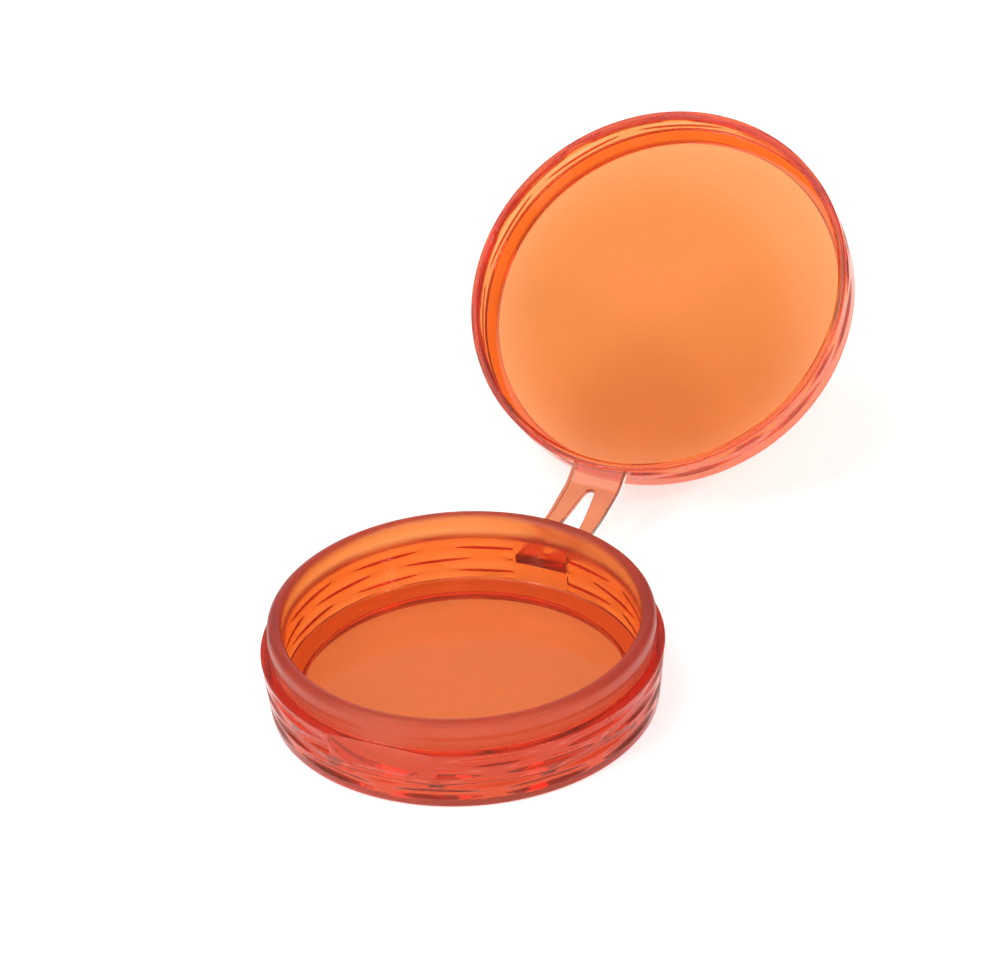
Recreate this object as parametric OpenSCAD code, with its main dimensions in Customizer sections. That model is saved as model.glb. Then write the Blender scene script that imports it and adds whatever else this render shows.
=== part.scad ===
// Round one-piece fly box, shown with the lid swung open.
// Origin: centre of the foot ring's underside. +Z up, +Y towards the strap, -Y towards the thumb scoop.

/* [Cup] */
// Radius of the cup at its shoulder
body_r = 36; // [35.4:0.1:37]
// Radius of the cup's outer wall at the foot
foot_r = 34.6; // [33.8:0.1:35.3]
// Inner radius of the foot ring
foot_in_r = 29.6; // [24:0.1:31.5]
// Height of the shoulder that the lid closes on
shoulder_z = 11.7; // [11.6:0.1:13]
// Height of the rim
rim_z = 17.5; // [16.5:0.1:17.6]
// Radius inside the cup
cup_in_r = 32; // [30:0.1:32.6]
// Height of the floor's upper face
floor_z = 4; // [3:0.1:6]
// Thickness of the floor
floor_t = 1.6; // [1:0.1:2.5]
// Radius of the neck under the rim bead
neck_r = 34; // [33.2:0.1:34.2]
// Radius of the rim bead
bead_r = 34.5; // [34:0.1:34.5]

/* [Thumb scoop] */
// Radius of the scoop's hollow face
scoop_r = 9; // [7:0.5:14]
// Depth of the scoop at its deepest, measured in from the shoulder's radius
scoop_depth = 1.65; // [0.8:0.05:1.7]
// Height of the scoop's deepest line
scoop_z = 10; // [9:0.1:11]

/* [Lid] */
// Radius of the lid at its mouth
lid_r = 36.1; // [35.8:0.1:36.6]
// Radius of the lid's skirt next to its outer ring
lid_back_r = 35.6; // [35.4:0.1:36]
// Height of the lid, from its mouth to the end of the outer ring
lid_h = 9.4; // [9:0.1:10]
// Thickness of the disc
disc_t = 1.2; // [0.8:0.1:1.4]
// Radius of the round recess inside the outer ring
lid_recess_r = 33.1; // [32:0.1:33.3]
// Radius of the lid's mouth
mouth_r = 34.82; // [34.82:0.01:35.2]
// Radius of the groove that clears the rim bead
groove_r = 35.05; // [35:0.05:35.3]
// Depth inside the lid, from its mouth to the disc
lid_depth = 5.9; // [5.9:0.1:6.6]
// Gap between the closed lid and the shoulder
lid_gap = 0.1; // [0.05:0.05:0.3]
// How far the lid is swung open from closed, in degrees
lid_open = 142.3; // [120:0.1:150]

/* [Strap] */
// Width of the strap
strap_w = 10.7; // [9:0.1:14]
// Thickness of the strap
strap_t = 1.1; // [0.8:0.1:1.4]
// Distance of the middle fold behind the cup's axis
fold_y = 48.04; // [47.8:0.01:50]
// Height of the strap's upper face at the middle fold
fold_z = 8.4; // [7.4:0.01:8.5]
// Distance of the lid-side fold from the lid's axis
lid_fold_r = 40; // [39.5:0.1:40.2]
// Thickness of the webs at the folds
web_t = 0.5; // [0.4:0.05:0.6]
// Largest width of the lanyard slot
slot_w = 4.7; // [4.4:0.1:5.2]

/* [Hidden] */
$fn = 96;

web_r = web_t / 2;
tilt = 180 - lid_open;                       // lid's lean back from level
closed_c = [0, shoulder_z + lid_gap];        // (y, z) of the lid's mouth centre when closed
fold = [fold_y, fold_z - web_r];             // (y, z) of the middle fold's axis
function rot2(v, a) = [v[0] * cos(a) - v[1] * sin(a), v[0] * sin(a) + v[1] * cos(a)];
lid_c = fold + rot2(closed_c - fold, -lid_open);   // (y, z) of the mouth centre as shown
lid_fold_top = lid_c + rot2([-lid_fold_r, 0], tilt);   // (y, z) of the lid-side fold, on the upper face
link_v = lid_fold_top - [fold_y, fold_z];
link_a = atan2(link_v[1], link_v[0]);        // slope of the strap's upper half
link_l = norm(link_v);                       // length of the strap's upper half
bend = tilt - link_a;                        // bend held at the lid-side fold
side_gap = 0.35;                             // length of a web's flat, up to the upper half's end
seat_r = web_r + 0.05;                       // hollow seat around a web's round edge
leg_in = 0.95;                               // half the slot's width at the root

function arc(c, r, a0, a1, n) = [for (i = [0:n]) c + r * [cos(a0 + (a1 - a0) * i / n), sin(a0 + (a1 - a0) * i / n)]];

// Cross-section of the cup from the axis outwards
function cup_profile() = concat(
    [[0, floor_z - floor_t], [foot_in_r - 0.4, floor_z - floor_t], [foot_in_r, 0]],
    arc([foot_r - 0.9, 0.9], 0.9, -90, -4, 4),
    [[body_r, shoulder_z - 0.5], [body_r - 0.15, shoulder_z - 0.15], [body_r - 0.5, shoulder_z]],
    [[neck_r, shoulder_z], [neck_r, shoulder_z + 1.3], [bead_r, shoulder_z + 2.6], [bead_r, rim_z - 1]],
    arc([bead_r - 1, rim_z - 1], 1, 15, 90, 4),
    arc([cup_in_r + 1.5, rim_z - 1.7], 1.7, 90, 180, 5),
    [[cup_in_r, floor_z + 0.6]],
    arc([cup_in_r - 0.6, floor_z + 0.6], 0.6, -20, -90, 3),
    [[0, floor_z]]);

// Solid inside the cup's outer surface, used to trim the strap's root
module cup_envelope(grow) {
    rotate_extrude() polygon([[0, -1], [foot_r + grow, -1], [foot_r + grow, 0.9],
        [body_r + grow, shoulder_z - 0.5], [body_r + grow, rim_z], [0, rim_z]]);
}

// Slot outline seen from above: x across the strap, y measured from the middle fold.
// A wide round end on the cup side, tapering to a small round end near the lid and to a narrow neck at the root.
slot_big = slot_w / 2;
slot_small = 1.2;
slot_y0 = -5.1;      // centre of the wide end
slot_y1 = 6.9;       // centre of the small end
slot_y2 = -9.1;      // centre of the narrow neck's end
module tangent_pair(ya, ra, yb, rb) {
    d = yb - ya;
    s = (ra - rb) / abs(d);
    c = sqrt(1 - s * s);
    g = sign(d);
    polygon([[ra * c, ya + g * ra * s], [rb * c, yb + g * rb * s], [-rb * c, yb + g * rb * s], [-ra * c, ya + g * ra * s]]);
}
module slot_2d() {
    translate([0, slot_y0]) circle(slot_big);
    translate([0, slot_y1]) circle(slot_small);
    translate([0, slot_y2]) circle(leg_in);
    tangent_pair(slot_y0, slot_big, slot_y1, slot_small);
    tangent_pair(slot_y0, slot_big, slot_y2, leg_in);
}

module base_cup() {
    color("#E2512B")
    difference() {
        rotate_extrude() polygon(cup_profile());
        // hollow for the thumb under the shoulder
        translate([0, -body_r + scoop_depth - scoop_r, scoop_z])
            rotate([0, 90, 0]) cylinder(r = scoop_r, h = 40, center = true);
    }
}

// Lower half of the strap, joined to the cup
module base_tongue() {
    color("#F08A5B")
    difference() {
        union() {
            // upper face bevelled next to the fold, with a lip reaching under the web
            translate([0, fold[0], fold[1]]) rotate([90, 0, 90]) linear_extrude(strap_w, center = true)
                polygon([[30 - fold_y, web_r - strap_t], [0.1, web_r - strap_t], [0.1, -0.2], [-0.45, -0.2],
                    [-1.15, web_r], [30 - fold_y, web_r]]);
            // thicker root on the cup's wall
            translate([-strap_w / 2, 30, fold_z - strap_t - 0.7])
                cube([strap_w, 37 - 30, strap_t + 0.7]);
        }
        cup_envelope(0.02);
        translate([0, fold_y, fold_z - 4]) linear_extrude(8) slot_2d();
        translate([0, fold[0], fold[1]]) rotate([0, 90, 0]) cylinder(r = seat_r, h = strap_w + 1, center = true);
    }
}

// Bar with a short flat behind it, lying along x with its round face on the fold's axis
module web_bar(len, back) {
    rotate([90, 0, 90]) linear_extrude(len, center = true) {
        circle(web_r);
        translate([0, -web_r]) square([back, web_t]);
    }
}

// Thin webs of the middle fold, one on each leg beside the slot
module fold_web() {
    inner = 1.95;
    color("#F5A07C")
    for (s = [-1, 1])
        translate([s * (strap_w / 2 + inner) / 2, fold[0], fold[1]])
            rotate([link_a, 0, 0]) web_bar(strap_w / 2 - inner, side_gap);
}

// Upper half of the strap, between the two folds
module strap_link() {
    color("#F08A5B")
    translate([0, fold[0], fold[1]]) rotate([link_a, 0, 0])
        difference() {
            translate([-strap_w / 2, side_gap, web_r - strap_t])
                cube([strap_w, link_l - 2 * side_gap, strap_t]);
            translate([0, 0, -4]) linear_extrude(8) slot_2d();
        }
}

// Axis of the lid-side fold, measured along the strap's upper half
module at_lid_fold() {
    translate([0, fold[0], fold[1]]) rotate([link_a, 0, 0]) translate([0, link_l, 0]) children();
}

// Thin web of the lid-side fold, over the strap's full width
module lid_web() {
    color("#F5A07C")
    at_lid_fold() rotate([180, 0, 0]) web_bar(strap_w, side_gap);
}

// Short end of the strap, joined to the lid's skirt at its mouth
module lid_tongue() {
    color("#F08A5B")
    difference() {
        translate([0, lid_c[0], lid_c[1]]) rotate([tilt, 0, 0])
            difference() {
                translate([-strap_w / 2, -lid_fold_r, -strap_t])
                    cube([strap_w, 8, strap_t]);
                translate([0, 0, -4]) cylinder(r = lid_r + 0.02, h = 8);
            }
        at_lid_fold() rotate([0, 90, 0]) cylinder(r = seat_r, h = strap_w + 1, center = true);
    }
}

// Cross-section of the lid, mouth upwards at height 0
function lid_profile() = concat(
    [[0, -lid_depth - disc_t], [lid_recess_r, -lid_depth - disc_t], [lid_recess_r, -lid_h + 0.1]],
    arc([lid_back_r - 2.1, -lid_h + 2.1], 2.1, -90, 0, 6),
    [[lid_r, -0.35], [lid_r - 0.1, -0.1], [lid_r - 0.35, 0]],
    [[mouth_r + 0.3, 0], [mouth_r, -0.3], [mouth_r, -1.2], [groove_r, -1.8], [groove_r, -lid_depth + 0.35]],
    [[groove_r - 0.1, -lid_depth + 0.1], [groove_r - 0.35, -lid_depth], [0, -lid_depth]]);

module lid() {
    color("#F4894C")
    translate([0, lid_c[0], lid_c[1]]) rotate([tilt, 0, 0])
        rotate_extrude() polygon(lid_profile());
}

base_cup();
base_tongue();
fold_web();
strap_link();
lid_web();
lid_tongue();
lid();
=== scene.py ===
import bpy, math
import numpy as np
from mathutils import Vector, Matrix
from mathutils.geometry import delaunay_2d_cdt


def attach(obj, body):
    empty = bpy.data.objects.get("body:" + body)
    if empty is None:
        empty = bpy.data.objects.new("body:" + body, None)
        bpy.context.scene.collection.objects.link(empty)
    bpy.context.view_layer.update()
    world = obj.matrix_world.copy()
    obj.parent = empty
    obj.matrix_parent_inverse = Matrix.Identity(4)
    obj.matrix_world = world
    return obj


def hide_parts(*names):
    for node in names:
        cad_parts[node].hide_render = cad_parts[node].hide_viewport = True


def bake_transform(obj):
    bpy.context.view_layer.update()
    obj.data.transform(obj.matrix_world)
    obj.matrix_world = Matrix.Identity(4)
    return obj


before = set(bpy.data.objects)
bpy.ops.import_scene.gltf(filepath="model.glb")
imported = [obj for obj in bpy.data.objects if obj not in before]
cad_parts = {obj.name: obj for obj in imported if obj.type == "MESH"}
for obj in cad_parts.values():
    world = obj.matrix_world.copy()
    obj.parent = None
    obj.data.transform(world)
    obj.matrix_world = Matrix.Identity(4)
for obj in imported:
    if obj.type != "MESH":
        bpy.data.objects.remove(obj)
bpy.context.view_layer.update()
MM = 0.001
scene = bpy.context.scene

# ------------------------------------------------------------------ sizes (mm), as in the construction model
FOLD = np.array([48.04, 8.15])          # (y, z) of the middle fold's axis
LFOLD = np.array([56.6335, 9.9287])     # (y, z) of the lid-side fold's axis
LIDC = np.array([88.2825, 34.6398])       # (y, z) of the centre of the lid's mouth
TILT = math.radians(37.7)                # lid's lean back from level


def lid_to_row(p):
    """lid coordinates (x, y', z') with the mouth's plane at z' = 0 -> row frame"""
    c, s = math.cos(TILT), math.sin(TILT)
    q = np.array(p, float)
    return np.stack([q[..., 0], LIDC[0] + q[..., 1] * c - q[..., 2] * s, LIDC[1] + q[..., 1] * s + q[..., 2] * c], -1)


# ------------------------------------------------------------------ mesh helpers
def rounded(points):
    """Polyline of (r, z, radius) corners -> list of (r, z) with the corners rounded."""
    out = []
    n = len(points)
    for i, (x, y, rad) in enumerate(points):
        p = np.array([x, y], float)
        if rad <= 0 or i == 0 or i == n - 1:
            out.append(p)
            continue
        a = np.array(points[i - 1][:2], float) - p
        b = np.array(points[i + 1][:2], float) - p
        la, lb = np.linalg.norm(a), np.linalg.norm(b)
        a, b = a / la, b / lb
        ang = math.acos(max(-1, min(1, float(a @ b))))
        t = min(rad / math.tan(ang / 2), 0.49 * la, 0.49 * lb)
        r = t * math.tan(ang / 2)
        m = (a + b) / np.linalg.norm(a + b)
        c = p + m * (r / math.sin(ang / 2))
        s, e = p + a * t - c, p + b * t - c
        k = max(2, int(math.ceil((math.pi - ang) / math.radians(14))))
        a0, a1 = math.atan2(s[1], s[0]), math.atan2(e[1], e[0])
        d = (a1 - a0 + math.pi) % (2 * math.pi) - math.pi
        if la - t > 0.25:
            out.append(p + a * (t + 0.07))
        for j in range(k + 1):
            out.append(c + r * np.array([math.cos(a0 + d * j / k), math.sin(a0 + d * j / k)]))
        if lb - t > 0.25:
            out.append(p + b * (t + 0.07))
    return out


def densify(pts, step):
    """Adds points on long stretches so that no stretch is longer than step(mid) mm."""
    out = [np.array(pts[0], float)]
    for p in pts[1:]:
        q = out[-1]
        p = np.array(p, float)
        s = step((p + q) / 2) if callable(step) else step
        k = max(1, int(math.ceil(np.linalg.norm(p - q) / s)))
        for j in range(1, k + 1):
            out.append(q + (p - q) * j / k)
    return out


def make_object(name, verts, faces, smooth=True):
    me = bpy.data.meshes.new(name)
    me.from_pydata([tuple(v) for v in (np.asarray(verts) * MM)], [], faces)
    me.validate()
    if smooth:
        me.polygons.foreach_set("use_smooth", [True] * len(me.polygons))
    me.update()
    o = bpy.data.objects.new(name, me)
    scene.collection.objects.link(o)
    return o


def angles(n, lines):
    """n even angles, with a fine cluster round each line angle (degrees) so that a thin moulding line can stand there"""
    th = np.arange(n) * 360.0 / n
    for a in lines:
        near = a % 360 + np.array([-0.2, -0.07, 0.0, 0.07, 0.2])
        th = th[np.abs((th - a + 180) % 360 - 180) > 0.3]
        th = np.concatenate([th, near % 360])
    return np.radians(np.sort(th))


def lathe(profile, th, move=None):
    """Closed lathe of a profile that starts and ends on the axis. move(verts) may displace them."""
    prof = np.array(profile)
    inner = prof[1:-1]
    n = len(th)
    c, s = np.cos(th), np.sin(th)
    k = len(inner)
    v = np.zeros((k, n, 3))
    v[:, :, 0] = inner[:, 0:1] * c
    v[:, :, 1] = inner[:, 0:1] * s
    v[:, :, 2] = inner[:, 1:2]
    if move is not None:
        v = move(v, th)
    verts = v.reshape(-1, 3)
    verts = np.vstack([verts, [[0, 0, prof[0, 1]], [0, 0, prof[-1, 1]]]])
    faces = []
    a0, a1 = k * n, k * n + 1
    idx = np.arange(n)
    nxt = (idx + 1) % n
    for i in range(k - 1):
        a, b = i * n, (i + 1) * n
        faces += list(zip((a + idx).tolist(), (a + nxt).tolist(), (b + nxt).tolist(), (b + idx).tolist()))
    faces += [(a0, int(nxt[j]), int(idx[j])) for j in range(n)]
    last = (k - 1) * n
    faces += [(a1, int(last + idx[j]), int(last + nxt[j])) for j in range(n)]
    return verts, faces


PITCH = 360.0 / 11                       # degrees from one hollow to the next in a row


def hollows(theta, z, rows, centre, half_w=15.6, half_h=1.2, depth=0.62):
    """Grip of shallow oval hollows in staggered rows. rows: heights; centre: angle (degrees) that the first row is centred on.
    Returns the depth in mm at each point."""
    d = np.zeros(np.broadcast(theta, z).shape)
    a = (np.degrees(theta) - centre + 180) % 360 - 180
    for i, zr in enumerate(rows):
        q = a - (PITCH / 2 if i % 2 else 0)
        u = q - np.round(q / PITCH) * PITCH
        rho = (u / half_w) ** 2 + ((z - zr) / half_h) ** 2
        # shallow bowl whose rim is slightly eased
        h = np.clip(1 - rho, 0, None)
        d = np.maximum(d, depth * h ** 1.35)
    return d


def sweep_angle(t, centre):
    """angle from centre in degrees, -180..180"""
    return (np.degrees(t) - centre + 180) % 360 - 180


def soft(x, a, b):
    q = np.clip((x - a) / (b - a), 0, 1)
    return q * q * (3 - 2 * q)


# ------------------------------------------------------------------ cup
SHOULDER, RIM = 11.75, 17.5
BODY_R, FOOT_R = 36.0, 34.6
CUP_ROWS = (10.1, 7.75, 5.4, 3.05)
CUP_LINE = -90.35                        # angle of the moulding's parting line


def cup_profile():
    pts = [
        (0, 2.4, 0), (28.9, 2.4, 0.5), (29.6, 0.0, 0.35), (FOOT_R, 0.0, 0.8), (BODY_R - 0.02, SHOULDER, 0.3),
        (34.1, SHOULDER, 0.35), (34.0, 13.6, 0.8), (34.5, 14.9, 0.7), (34.5, RIM, 1.25), (31.8, RIM, 1.2), (31.85, 15.1, 0.8),
        (32.0, 4.0, 0.55), (0, 4.0, 0),
    ]
    def step(m):
        r, z = m
        if r > 33.0 and 1.2 < z < 11.8:
            return 0.11         # wall with the grip
        if r < 27:
            return 6.0
        return 1.1
    return densify(rounded(pts), step)


def cup_move(v, th):
    r = np.hypot(v[..., 0], v[..., 1])
    z = v[..., 2]
    outer = (r > 33.2) & (z > 0.3) & (z < SHOULDER + 0.01)
    t = np.broadcast_to(th[None, :], r.shape)
    # the scoop's field and the strap's root stay plain
    front = np.abs(sweep_angle(t, -90))
    back = np.abs(sweep_angle(t, 90))
    field = np.maximum(soft(front, 16.5, 16.9), soft(-z, -6.75, -6.6))
    plain = field * soft(back, 9.0, 9.4)
    d = hollows(t, z, CUP_ROWS, -89.4) * plain * outer
    rr = r - d
    # scoop: a hollow with a horizontal axis, cut into the front of the wall
    yc, zc, rs = -(36.0 - 1.62 + 8.6), 9.85, 8.6
    x = rr * np.cos(t)
    y = rr * np.sin(t)
    lim = yc + np.sqrt(np.maximum(rs * rs - (z - zc) ** 2, 0))
    cut = outer & (np.abs(z - zc) < rs) & (y < lim)
    y = np.where(cut, lim, y)
    ridge = 0.03 * outer * (np.abs(sweep_angle(t, CUP_LINE)) < 0.03)
    y = y - ridge
    out = v.copy()
    out[..., 0] = np.where(outer, x, v[..., 0])
    out[..., 1] = np.where(outer, y, v[..., 1])
    return out


verts, faces = lathe(cup_profile(), angles(960, [CUP_LINE]), cup_move)
cup = make_object("cup_shell", verts, faces)
cr, cz = np.hypot(verts[:, 0], verts[:, 1]), verts[:, 2]
# the cup's upper band (neck, bead and rim) is rougher, a real frosted finish, and also gets a paler tint, which is
# painted sheen
at = cup.data.attributes.new("frost_and_sheen", "FLOAT", "POINT")
at.data.foreach_set("value", (soft(cz, 11.3, 12.3) * soft(cr, 31.2, 31.9)).astype(np.float32))
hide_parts("base_cup")
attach(cup, "base")

# ------------------------------------------------------------------ lid
LID_H, LID_IN, DISC_T = 9.4, 5.9, 1.2
LID_ROWS = (-1.4, -4.2)
LID_LINE = 317.0


def lid_profile():
    pts = [
        (0, -LID_IN - DISC_T, 0), (33.1, -LID_IN - DISC_T, 0.25), (33.15, -LID_H, 0.2), (35.58, -LID_H, 2.05), (36.08, 0.0, 0.34), (34.95, 0.0, 0.3),
        (34.40, -0.5, 0.3), (34.40, -1.3, 0.35), (35.07, -2.2, 0.45), (35.0, -LID_IN, 0.38), (0, -LID_IN, 0),
    ]
    def step(m):
        r, z = m
        if r > 35.2 and -7.5 < z < -0.3:
            return 0.11
        if r < 30:
            return 6.0
        return 0.9
    return densify(rounded(pts), step)


def lid_move(v, th):
    r = np.hypot(v[..., 0], v[..., 1])
    z = v[..., 2]
    outer = (r > 35.2) & (z < -0.2) & (z > -LID_H + 1.0)
    t = np.broadcast_to(th[None, :], r.shape)
    back = np.abs(sweep_angle(t, 270))
    plain = soft(back, 8.8, 9.2)
    d = hollows(t, z, LID_ROWS, 282.3, half_w=14.8, half_h=1.3, depth=0.45) * plain * outer
    rr = r - d + 0.03 * outer * (np.abs(sweep_angle(t, LID_LINE)) < 0.03) * (z < -6.0) * (z > -7.8)
    out = v.copy()
    out[..., 0] = rr * np.cos(t)
    out[..., 1] = rr * np.sin(t)
    return out


verts, faces = lathe(lid_profile(), angles(960, [LID_LINE]), lid_move)
lid = make_object("lid_shell", lid_to_row(verts), faces)
at = lid.data.attributes.new("disc", "FLOAT", "POINT")
lr, lz = np.hypot(verts[:, 0], verts[:, 1]), verts[:, 2]
at.data.foreach_set("value", ((lr < 34.2) & (lz > -7.3) & (lz < -5.5)).astype(np.float32))
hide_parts("lid")
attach(lid, "lid")


# ------------------------------------------------------------------ strap
W2, T, ED = 5.35, 1.1, 0.28
A_LINK = math.atan2(LFOLD[1] - FOLD[1], LFOLD[0] - FOLD[0])
LID_DROP = 0.3                            # the strap leaves the lid's skirt this far below the lip


def strap_line():
    """Upper face's centre line in (y, z): flat from the cup, a soft bend at each fold, then up to the lid's lip."""
    top1 = FOLD + np.array([0, 0.25])
    top2 = LFOLD + 0.25 * np.array([-math.sin(A_LINK), math.cos(A_LINK)])
    c, s = math.cos(TILT), math.sin(TILT)
    end = LIDC - np.array([c, s]) * 36.02 + np.array([s, -c]) * LID_DROP
    pts = [(35.32, top1[1], 0), (top1[0], top1[1], 22.0), (top2[0], top2[1], 4.5), (end[0], end[1], 0)]
    return densify(rounded(pts), 0.15)


LINE = np.array(strap_line())
SEG = np.concatenate([[0], np.cumsum(np.linalg.norm(np.diff(LINE, axis=0), axis=1))])
LEN = float(SEG[-1])


def s_at_y(y):
    return float(np.interp(y, LINE[:, 0], SEG))


def on_line(p):
    """(x, s, z) with s along the upper face and z above it -> row frame"""
    x, s, z = p[:, 0], p[:, 1].copy(), p[:, 2]
    # both ends follow the round walls that they grow out of
    sag = 36.0 - np.sqrt(36.0 ** 2 - x ** 2)
    s = s - sag * np.clip(1 - s / 3.0, 0, 1) + sag * np.clip(1 - (LEN - s) / 3.0, 0, 1)
    e = 0.2
    def at(q):
        y = np.interp(q, SEG, LINE[:, 0])
        h = np.interp(q, SEG, LINE[:, 1])
        a0 = (LINE[1] - LINE[0]) / np.linalg.norm(LINE[1] - LINE[0])
        a1 = (LINE[-1] - LINE[-2]) / np.linalg.norm(LINE[-1] - LINE[-2])
        lo, hi = np.clip(q, None, 0), np.clip(q - LEN, 0, None)
        return y + lo * a0[0] + hi * a1[0], h + lo * a0[1] + hi * a1[1]
    y, h = at(s)
    y1, h1 = at(s + e)
    y0, h0 = at(s - e)
    ty, tz = y1 - y0, h1 - h0
    n = np.hypot(ty, tz)
    ty, tz = ty / n, tz / n
    return np.stack([x, y - tz * z, h + ty * z], 1)


def slot_outline(step=0.2):
    """teardrop lanyard slot in (x, s): wide round end on the cup side, small round end near the lid, narrow neck at the root"""
    s0, s1, s2 = s_at_y(42.94), s_at_y(55.15), s_at_y(38.94)
    R0, R1, R2 = 2.35, 0.92, 0.95
    up = math.asin((R0 - R1) / (s1 - s0))
    dn = math.asin((R0 - R2) / (s0 - s2))
    right = [(R1 * math.cos(a), s1 + R1 * math.sin(a)) for a in np.linspace(math.pi / 2, up, 14)]
    right += [(R0 * math.cos(a), s0 + R0 * math.sin(a)) for a in np.linspace(up, -dn, 12)]
    right += [(R2 * math.cos(a), s2 + R2 * math.sin(a)) for a in np.linspace(-dn, -math.pi / 2, 12)]
    loop = np.array(right + [(-x, s) for x, s in reversed(right[1:-1])])
    q = np.vstack([loop, loop[:1]])
    L = np.concatenate([[0], np.cumsum(np.linalg.norm(np.diff(q, axis=0), axis=1))])
    n = int(round(L[-1] / step))
    t = np.arange(n) * L[-1] / n
    r = np.stack([np.interp(t, L, q[:, 0]), np.interp(t, L, q[:, 1])], 1)
    for _ in range(6):
        r = (np.roll(r, 1, 0) + 2 * r + np.roll(r, -1, 0)) / 4
    return r


def build_strap(join_y):
    slot = slot_outline()
    t = np.roll(slot, -1, 0) - np.roll(slot, 1, 0)
    nrm = np.stack([t[:, 1], -t[:, 0]], 1)
    nrm /= np.linalg.norm(nrm, axis=1)[:, None]
    if np.sum((slot - slot.mean(0)) * nrm) < 0:
        nrm = -nrm                                   # from the slot into the plastic
    rim = slot + nrm * ED
    wi = W2 - ED
    sj = s_at_y(join_y)
    k1, k2 = int(round(sj / 0.3)), int(round((LEN - sj) / 0.3))
    ss = np.concatenate([np.linspace(0, sj, k1 + 1), np.linspace(sj, LEN, k2 + 1)[1:]])
    xs = np.linspace(-wi, wi, 31)
    P, E = [], []

    def add(p):
        P.append((float(p[0]), float(p[1])))
        return len(P) - 1
    L = [add((-wi, s)) for s in ss]
    R = [add((wi, s)) for s in ss]
    B0 = [L[0]] + [add((x, 0)) for x in xs[1:-1]] + [R[0]]
    B1 = [L[-1]] + [add((x, LEN)) for x in xs[1:-1]] + [R[-1]]
    J = [L[k1]] + [add((x, sj)) for x in xs[1:-1]] + [R[k1]]
    S = [add(p) for p in rim]
    for ch in (L, R, B0, B1, J):
        E += list(zip(ch[:-1], ch[1:]))
    E += [(S[i], S[(i + 1) % len(S)]) for i in range(len(S))]
    # points inside, away from every border
    border = np.array(P)
    gx = np.arange(-wi + 0.4, wi - 0.2, 0.42)
    row = 0
    for s in np.arange(0.4, LEN - 0.2, 0.4):
        row += 1
        for x in gx + (0.21 if row % 2 else 0):
            if abs(x) > wi - 0.2:
                continue
            d = np.hypot(border[:, 0] - x, border[:, 1] - s).min()
            if d > 0.24 and not inside(rim, x, s):
                add((x, s))
    vo, eo, fo, ov, oe, of_ = delaunay_2d_cdt([Vector(p) for p in P], E, [], 0, 1e-7)
    back = {}
    for i, src_ in enumerate(ov):
        back[i] = src_[0] if src_ else None
    assert all(v is not None for v in back.values()) and len(vo) == len(P)
    tris = []
    for f in fo:
        f = [back[i] for i in f]
        c = np.mean([P[i] for i in f], 0)
        if inside(rim, c[0], c[1]) or abs(c[0]) > wi or c[1] < 0 or c[1] > LEN:
            continue
        a, b, d = (np.array(P[i]) for i in f[:3])
        if (b[0] - a[0]) * (d[1] - a[1]) - (b[1] - a[1]) * (d[0] - a[0]) < 0:
            f = f[::-1]
        tris.append(f)
    P2 = np.array(P)
    n = len(P)

    def thick(s):
        return T + 0.75 * np.exp(-(s / 1.1) ** 2) + 0.25 * np.exp(-((LEN - s) / 0.8) ** 2)
    V = [np.array([[x, s, 0.0] for x, s in P]), np.array([[x, s, -thick(s)] for x, s in P])]
    faces = [tuple(f) for f in tris] + [tuple(n + i for i in f[::-1]) for f in tris]
    count = 2 * n
    steps = 5
    prof = [(math.sin(a), 1 - math.cos(a)) for a in np.linspace(0, math.pi / 2, steps + 1)[1:]]   # (outwards, downwards) x ED

    def side(chain, base, out, closed, flip):
        """rounded side below a border chain of the upper face, down to the lower face"""
        nonlocal count
        base = np.array(base)
        th_ = thick(base[:, 1])
        rows = [np.array(chain)]
        rings = [(o, d, 0) for o, d in prof] + [(o, d, 1) for o, d in prof[::-1]]
        for o, d, low in rings:
            q = np.zeros((len(base), 3))
            q[:, :2] = base + out * (ED * o)
            q[:, 2] = -ED * d if not low else -(th_ - ED * d)
            V.append(q)
            rows.append(np.arange(count, count + len(base)))
            count += len(base)
        rows.append(np.array(chain) + n)
        m = len(base)
        for a, b in zip(rows[:-1], rows[1:]):
            for i in range(m if closed else m - 1):
                j = (i + 1) % m
                f = (int(a[i]), int(b[i]), int(b[j]), int(a[j]))
                faces.append(f[::-1] if flip else f)
        return rows
    ls = side(L, [P[i] for i in L], np.array([[-1.0, 0.0]]), False, False)
    rs = side(R, [P[i] for i in R], np.array([[1.0, 0.0]]), False, True)
    area = 0.5 * np.sum(rim[:, 0] * np.roll(rim[:, 1], -1) - np.roll(rim[:, 0], -1) * rim[:, 1])
    side(S, rim, -nrm, True, area > 0)
    # flat ends against the two walls
    for e, ch in ((0, B0), (-1, B1)):
        loop = list(ch) + [int(r[e]) for r in rs[1:-1]] + [i + n for i in reversed(ch)] + [int(r[e]) for r in reversed(ls[1:-1])]
        faces.append(tuple(loop if e == 0 else loop[::-1]))
    V3 = np.vstack(V)
    return V3, faces, sj


def inside(loop, x, y):
    a, b = loop, np.roll(loop, -1, 0)
    hit = (a[:, 1] > y) != (b[:, 1] > y)
    with np.errstate(divide="ignore", invalid="ignore"):
        xi = a[:, 0] + (y - a[:, 1]) * (b[:, 0] - a[:, 0]) / (b[:, 1] - a[:, 1])
    return bool(np.count_nonzero(hit & (x < xi)) % 2)


flat, sfaces, s_join = build_strap(56.45)
row_v = on_line(flat)
whole = make_object("strap_whole", row_v, sfaces)
vnorm = np.array([v.normal for v in whole.data.vertices])
# painted shade: the strap's colour darkens within 0.45 mm of its long side edges, darkest on the rounded sides
edge_painted_shade = np.clip(1 - (W2 - np.abs(flat[:, 0])) / 0.45, 0, 1)
# painted shade: nearly black-red in the first 1.5 mm from the cup wall, except for a narrow middle strip
root_painted_shade = np.clip(1.9 - flat[:, 1] / 0.8, 0, 1) * soft(np.abs(flat[:, 0]), 0.7, 1.2)


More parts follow.
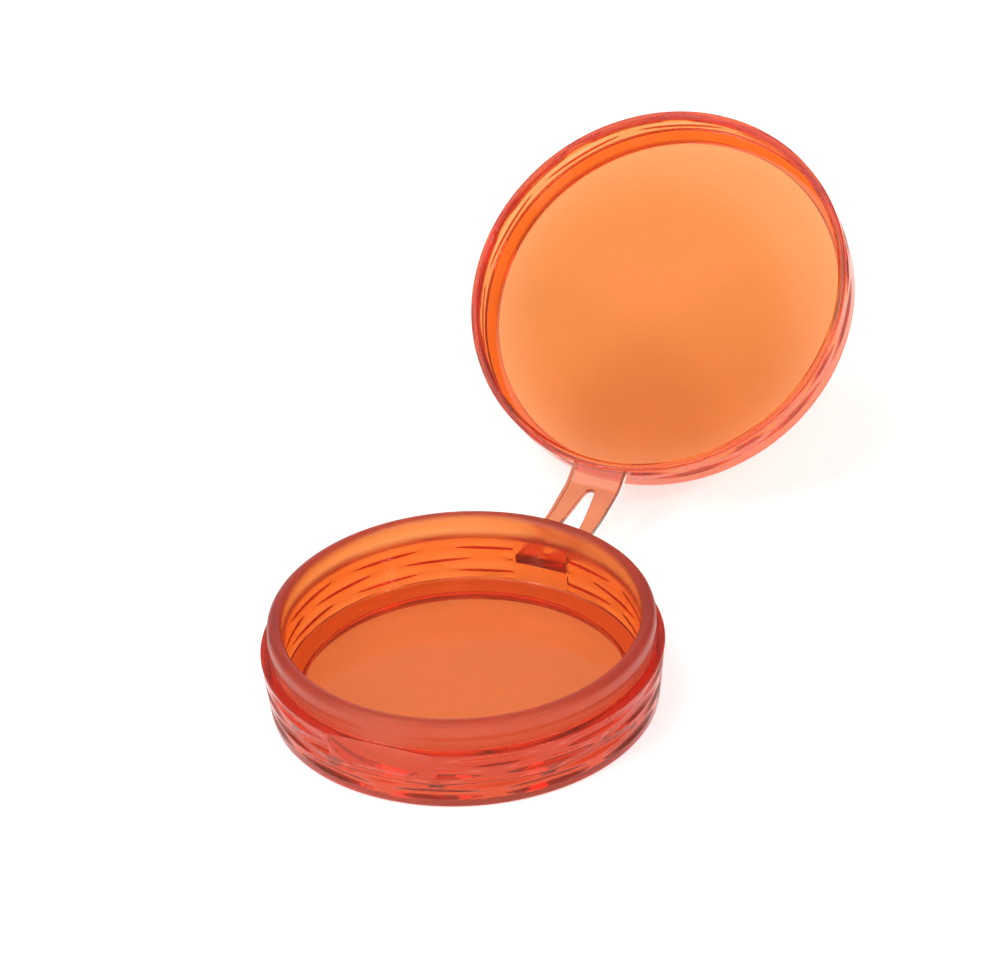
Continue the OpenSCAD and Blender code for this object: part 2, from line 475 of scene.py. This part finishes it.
def split_off(name, want):
    """part of the strap as its own piece, shaded as the whole strap is, so that no line shows where the two parts meet"""
    fs = [f for f in sfaces if want(float(np.mean(flat[list(f), 1])))]
    used = sorted({i for f in fs for i in f})
    new = {i: j for j, i in enumerate(used)}
    o = make_object(name, row_v[used], [tuple(new[i] for i in f) for f in fs])
    me = o.data
    for nm, val in (("edge", edge_painted_shade), ("root", root_painted_shade)):
        at = me.attributes.new(nm, "FLOAT", "POINT")
        at.data.foreach_set("value", val[used].astype(np.float32))
    me.normals_split_custom_set_from_vertices([tuple(vnorm[i]) for i in used])
    return o


strap = split_off("strap_legs", lambda s: s < s_join)
tab = split_off("strap_lid_end", lambda s: s > s_join)
bpy.data.objects.remove(whole)
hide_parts("base_tongue", "fold_web", "strap_link")
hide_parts("lid_web", "lid_tongue")
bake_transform(strap)
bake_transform(tab)

# ------------------------------------------------------------------ materials
def nodes_of(mat):
    mat.use_nodes = True
    nt = mat.node_tree
    nt.nodes.clear()
    out = nt.nodes.new("ShaderNodeOutputMaterial")
    return nt, out


def noise(nt, scale, detail=3.0, stretch=(1, 1, 1), rough=0.5):
    """value 0..1 that varies over the piece (object space, metres)"""
    N, L = nt.nodes, nt.links
    tc_ = N.new("ShaderNodeTexCoord")
    mp = N.new("ShaderNodeMapping")
    mp.inputs["Scale"].default_value = stretch
    n = N.new("ShaderNodeTexNoise")
    n.inputs["Scale"].default_value = scale
    n.inputs["Detail"].default_value = detail
    n.inputs["Roughness"].default_value = rough
    L.new(tc_.outputs["Object"], mp.inputs["Vector"])
    L.new(mp.outputs[0], n.inputs["Vector"])
    return n.outputs["Fac"]


def spread(nt, src, lo, hi, to_lo, to_hi):
    mr = nt.nodes.new("ShaderNodeMapRange")
    for k, v in (("From Min", lo), ("From Max", hi), ("To Min", to_lo), ("To Max", to_hi)):
        mr.inputs[k].default_value = v
    nt.links.new(src, mr.inputs["Value"])
    return mr.outputs[0]


def calc(nt, op, a, b):
    m = nt.nodes.new("ShaderNodeMath")
    m.operation = op
    for i, v in enumerate((a, b)):
        if isinstance(v, (int, float)):
            m.inputs[i].default_value = v
        else:
            nt.links.new(v, m.inputs[i])
    return m.outputs[0]


def shade(nt, fac, c0, c1):
    mx = nt.nodes.new("ShaderNodeMix")
    mx.data_type = "RGBA"
    nt.links.new(fac, mx.inputs[0])
    for i, c in ((6, c0), (7, c1)):
        if isinstance(c, tuple):
            mx.inputs[i].default_value = (*c, 1)
        else:
            nt.links.new(c, mx.inputs[i])
    return mx.outputs[2]


def plastic(name, rough, vary, bump, scuff, absorb=None, density=1.0, tint=(1, 1, 1), marks=(), clear=1.0,
            frost_and_sheen=None, gloss=(1, 1, 1)):
    """Clear tinted moulded plastic. rough and vary: surface roughness and how much it changes; bump: depth of the skin's grain;
    scuff: strength of fine handling scratches; absorb, density: volume absorption; marks: (attribute, colour) surface tints; clear: how much of the skin is clear rather than milky;
    frost_and_sheen: roughness of the parts marked "frost"; gloss: tint of the reflections seen face on."""
    mat = bpy.data.materials.new(name)
    nt, out = nodes_of(mat)
    N, L = nt.nodes, nt.links
    b = N.new("ShaderNodeBsdfPrincipled")
    b.inputs["Base Color"].default_value = (*tint, 1)
    b.inputs["Transmission Weight"].default_value = clear
    b.inputs["IOR"].default_value = 1.49
    b.inputs["Specular Tint"].default_value = (*gloss, 1)
    L.new(b.outputs[0], out.inputs["Surface"])
    fine = noise(nt, 1400, 4.0)
    broad = noise(nt, 70, 3.0)
    # handling scratches: thin stretched streaks in two directions, only in some places
    s1 = spread(nt, noise(nt, 260, 2.0, (1.0, 14.0, 14.0)), 0.66, 0.70, 0.0, 1.0)
    s2 = spread(nt, noise(nt, 240, 2.0, (12.0, 1.6, 9.0)), 0.67, 0.71, 0.0, 1.0)
    worn = spread(nt, noise(nt, 45, 2.0), 0.52, 0.68, 0.0, 1.0)
    scr = calc(nt, "MULTIPLY", calc(nt, "MAXIMUM", s1, s2), worn)
    r = calc(nt, "ADD", spread(nt, fine, 0.3, 0.7, rough - vary, rough + vary), spread(nt, broad, 0.3, 0.7, -vary, vary))
    r = calc(nt, "ADD", r, calc(nt, "MULTIPLY", scr, scuff))
    if frost_and_sheen is not None:
        a = N.new("ShaderNodeAttribute")
        a.attribute_name = "frost_and_sheen"
        r = calc(nt, "ADD", r, calc(nt, "MULTIPLY", a.outputs["Fac"], frost_and_sheen - rough))
    L.new(calc(nt, "MAXIMUM", r, 0.01), b.inputs["Roughness"])
    bp = N.new("ShaderNodeBump")
    bp.inputs["Strength"].default_value = 1.0
    bp.inputs["Distance"].default_value = bump
    L.new(calc(nt, "SUBTRACT", calc(nt, "MULTIPLY", fine, 0.5), calc(nt, "MULTIPLY", scr, 0.5)), bp.inputs["Height"])
    L.new(bp.outputs[0], b.inputs["Normal"])
    col = None
    for attr, c in marks:
        a = N.new("ShaderNodeAttribute")
        a.attribute_name = attr
        col = shade(nt, a.outputs["Fac"], tint if col is None else col, c)
    if col is not None:
        L.new(col, b.inputs["Base Color"])
    if absorb is not None:
        v = N.new("ShaderNodeVolumeAbsorption")
        v.inputs["Color"].default_value = (*absorb, 1)
        v.inputs["Density"].default_value = density
        L.new(v.outputs[0], out.inputs["Volume"])
    return mat


def absorption(sr, sg, sb):
    """Volume Absorption: extinction per metre is density * (1 - colour)"""
    top = max(sr, sg, sb) * 1.02
    return (1 - sr / top, 1 - sg / top, 1 - sb / top), top * 1000.0


a_cup, d_cup = absorption(0.020, 0.30, 0.72)
a_lid, d_lid = absorption(0.030, 0.40, 1.00)
# the paler colour on the cup's upper band is painted sheen; the band's higher roughness is its real frosted finish
m_cup = plastic("cup_plastic_frosted", 0.06, 0.015, 0.000002, 0.10, a_cup, d_cup, tint=(0.96, 0.49, 0.30), clear=0.94,
                frost_and_sheen=0.38, gloss=(1.0, 0.65, 0.55), marks=(("frost_and_sheen", (0.98, 0.62, 0.45)),))
m_lid = plastic("lid_plastic_clear", 0.03, 0.006, 0.0000002, 0.08, a_lid, d_lid, tint=(0.97, 0.55, 0.32), clear=0.95,
                gloss=(1.0, 0.9, 0.8), marks=(("disc", (0.88, 0.42, 0.20)),))
# the strap's darker tint along its side edges is painted shade
m_strap = plastic("strap_plastic", 0.10, 0.02, 0.000002, 0.10, tint=(0.88, 0.31, 0.155), clear=0.90,
                  # the nearly black-red tint at the strap's root on the cup wall is painted shade
                  marks=(("edge", (0.80, 0.17, 0.08)), ("root", (0.36, 0.02, 0.01))))
for o, m in ((cup, m_cup), (lid, m_lid), (strap, m_strap), (tab, m_strap)):
    o.data.materials.clear()
    o.data.materials.append(m)

# ------------------------------------------------------------------ floor, light, camera
me = bpy.data.meshes.new("floor")
me.from_pydata([(-6, -6, 0), (6, -6, 0), (6, 6, 0), (-6, 6, 0)], [], [(0, 1, 2, 3)])
floor = bpy.data.objects.new("floor", me)
scene.collection.objects.link(floor)
floor.location.z = -0.00005
mf = bpy.data.materials.new("floor_white")
nt, out = nodes_of(mf)
d = nt.nodes.new("ShaderNodeBsdfPrincipled")
d.inputs["Base Color"].default_value = (0.85, 0.85, 0.85, 1)
d.inputs["Roughness"].default_value = 1.0
d.inputs["Specular IOR Level"].default_value = 0.0
d.inputs["Emission Color"].default_value = (1, 1, 1, 1)
d.inputs["Emission Strength"].default_value = 0.54
nt.links.new(d.outputs[0], out.inputs["Surface"])
me.materials.append(mf)

world = bpy.data.worlds.new("studio")
scene.world = world
world.use_nodes = True
nt = world.node_tree
nt.nodes.clear()
wo = nt.nodes.new("ShaderNodeOutputWorld")
bg = nt.nodes.new("ShaderNodeBackground")
bg.inputs["Strength"].default_value = 1.0
nt.links.new(bg.outputs[0], wo.inputs["Surface"])
tc = nt.nodes.new("ShaderNodeTexCoord")


def lobe(direction, half_deg, soft_deg, value):
    """smooth patch of light round a direction"""
    dv = Vector(direction).normalized()
    dot = nt.nodes.new("ShaderNodeVectorMath")
    dot.operation = "DOT_PRODUCT"
    nt.links.new(tc.outputs["Generated"], dot.inputs[0])
    dot.inputs[1].default_value = dv
    mr = nt.nodes.new("ShaderNodeMapRange")
    mr.interpolation_type = "SMOOTHSTEP"
    mr.inputs["From Min"].default_value = math.cos(math.radians(half_deg + soft_deg))
    mr.inputs["From Max"].default_value = math.cos(math.radians(max(half_deg - soft_deg, 0)))
    mr.inputs["To Min"].default_value = 0
    mr.inputs["To Max"].default_value = value
    nt.links.new(dot.outputs["Value"], mr.inputs["Value"])
    return mr.outputs[0]


def add_all(values, base):
    cur = None
    for v in values:
        m = nt.nodes.new("ShaderNodeMath")
        m.operation = "ADD"
        if cur is None:
            m.inputs[0].default_value = base
        else:
            nt.links.new(cur, m.inputs[0])
        nt.links.new(v, m.inputs[1])
        cur = m.outputs[0]
    return cur


def node_math(op, a, b):
    m = nt.nodes.new("ShaderNodeMath")
    m.operation = op
    for i, v in enumerate((a, b)):
        if isinstance(v, (int, float)):
            m.inputs[i].default_value = v
        else:
            nt.links.new(v, m.inputs[i])
    return m.outputs[0]


def towards(az, el):
    a, e = math.radians(az), math.radians(el)
    return (math.cos(a) * math.cos(e), math.sin(a) * math.cos(e), math.sin(e))


# big overhead umbrella with a dim middle, in front of it two soft boxes, and a small key next to the camera
umbrella = lobe((-0.356, -0.306, 0.883), 22, 7, 1.95)
middle = lobe((-0.3563, -0.3062, 0.8828), 1.12, 0.24, 1.0)
umbrella = node_math("MULTIPLY", umbrella, node_math("SUBTRACT", 1.0, middle))
total = add_all([
    umbrella,
    lobe(towards(-60, 39), 7, 2, 6.0),
    lobe(towards(-17, 40), 5.5, 1.5, 21.0),
    lobe(towards(-116, 40), 5.5, 1.5, 15.0),
    lobe(towards(-63, 8), 18, 6, 0.8),
    lobe(towards(-116, 6), 13, 5, 3.2),             # low reflector on the left
    lobe(towards(112, 0), 25, 8, 0.9),              # pale sweep behind
], 0.30)
nt.links.new(total, bg.inputs["Color"])

cam_d = bpy.data.cameras.new("camera")
cam = bpy.data.objects.new("camera", cam_d)
scene.collection.objects.link(cam)
ax = Vector((0.908441, 0.415631, -0.044561))
ay = Vector((-0.190052, 0.505621, 0.841562))
az = Vector((0.372310, -0.756041, 0.538319))
cam.matrix_world = Matrix(((ax[0], ay[0], az[0], 0.46272421), (ax[1], ay[1], az[1], -0.92140820), (ax[2], ay[2], az[2], 0.70206837), (0, 0, 0, 1)))
cam_d.sensor_width = 36.0
cam_d.lens = 252.0
cam_d.clip_start, cam_d.clip_end = 0.05, 50
scene.camera = cam
scene.view_settings.view_transform = "Standard"
scene.view_settings.look = "None"
scene.cycles.max_bounces = 32
scene.cycles.transmission_bounces = 32
scene.cycles.glossy_bounces = 12
scene.cycles.diffuse_bounces = 4
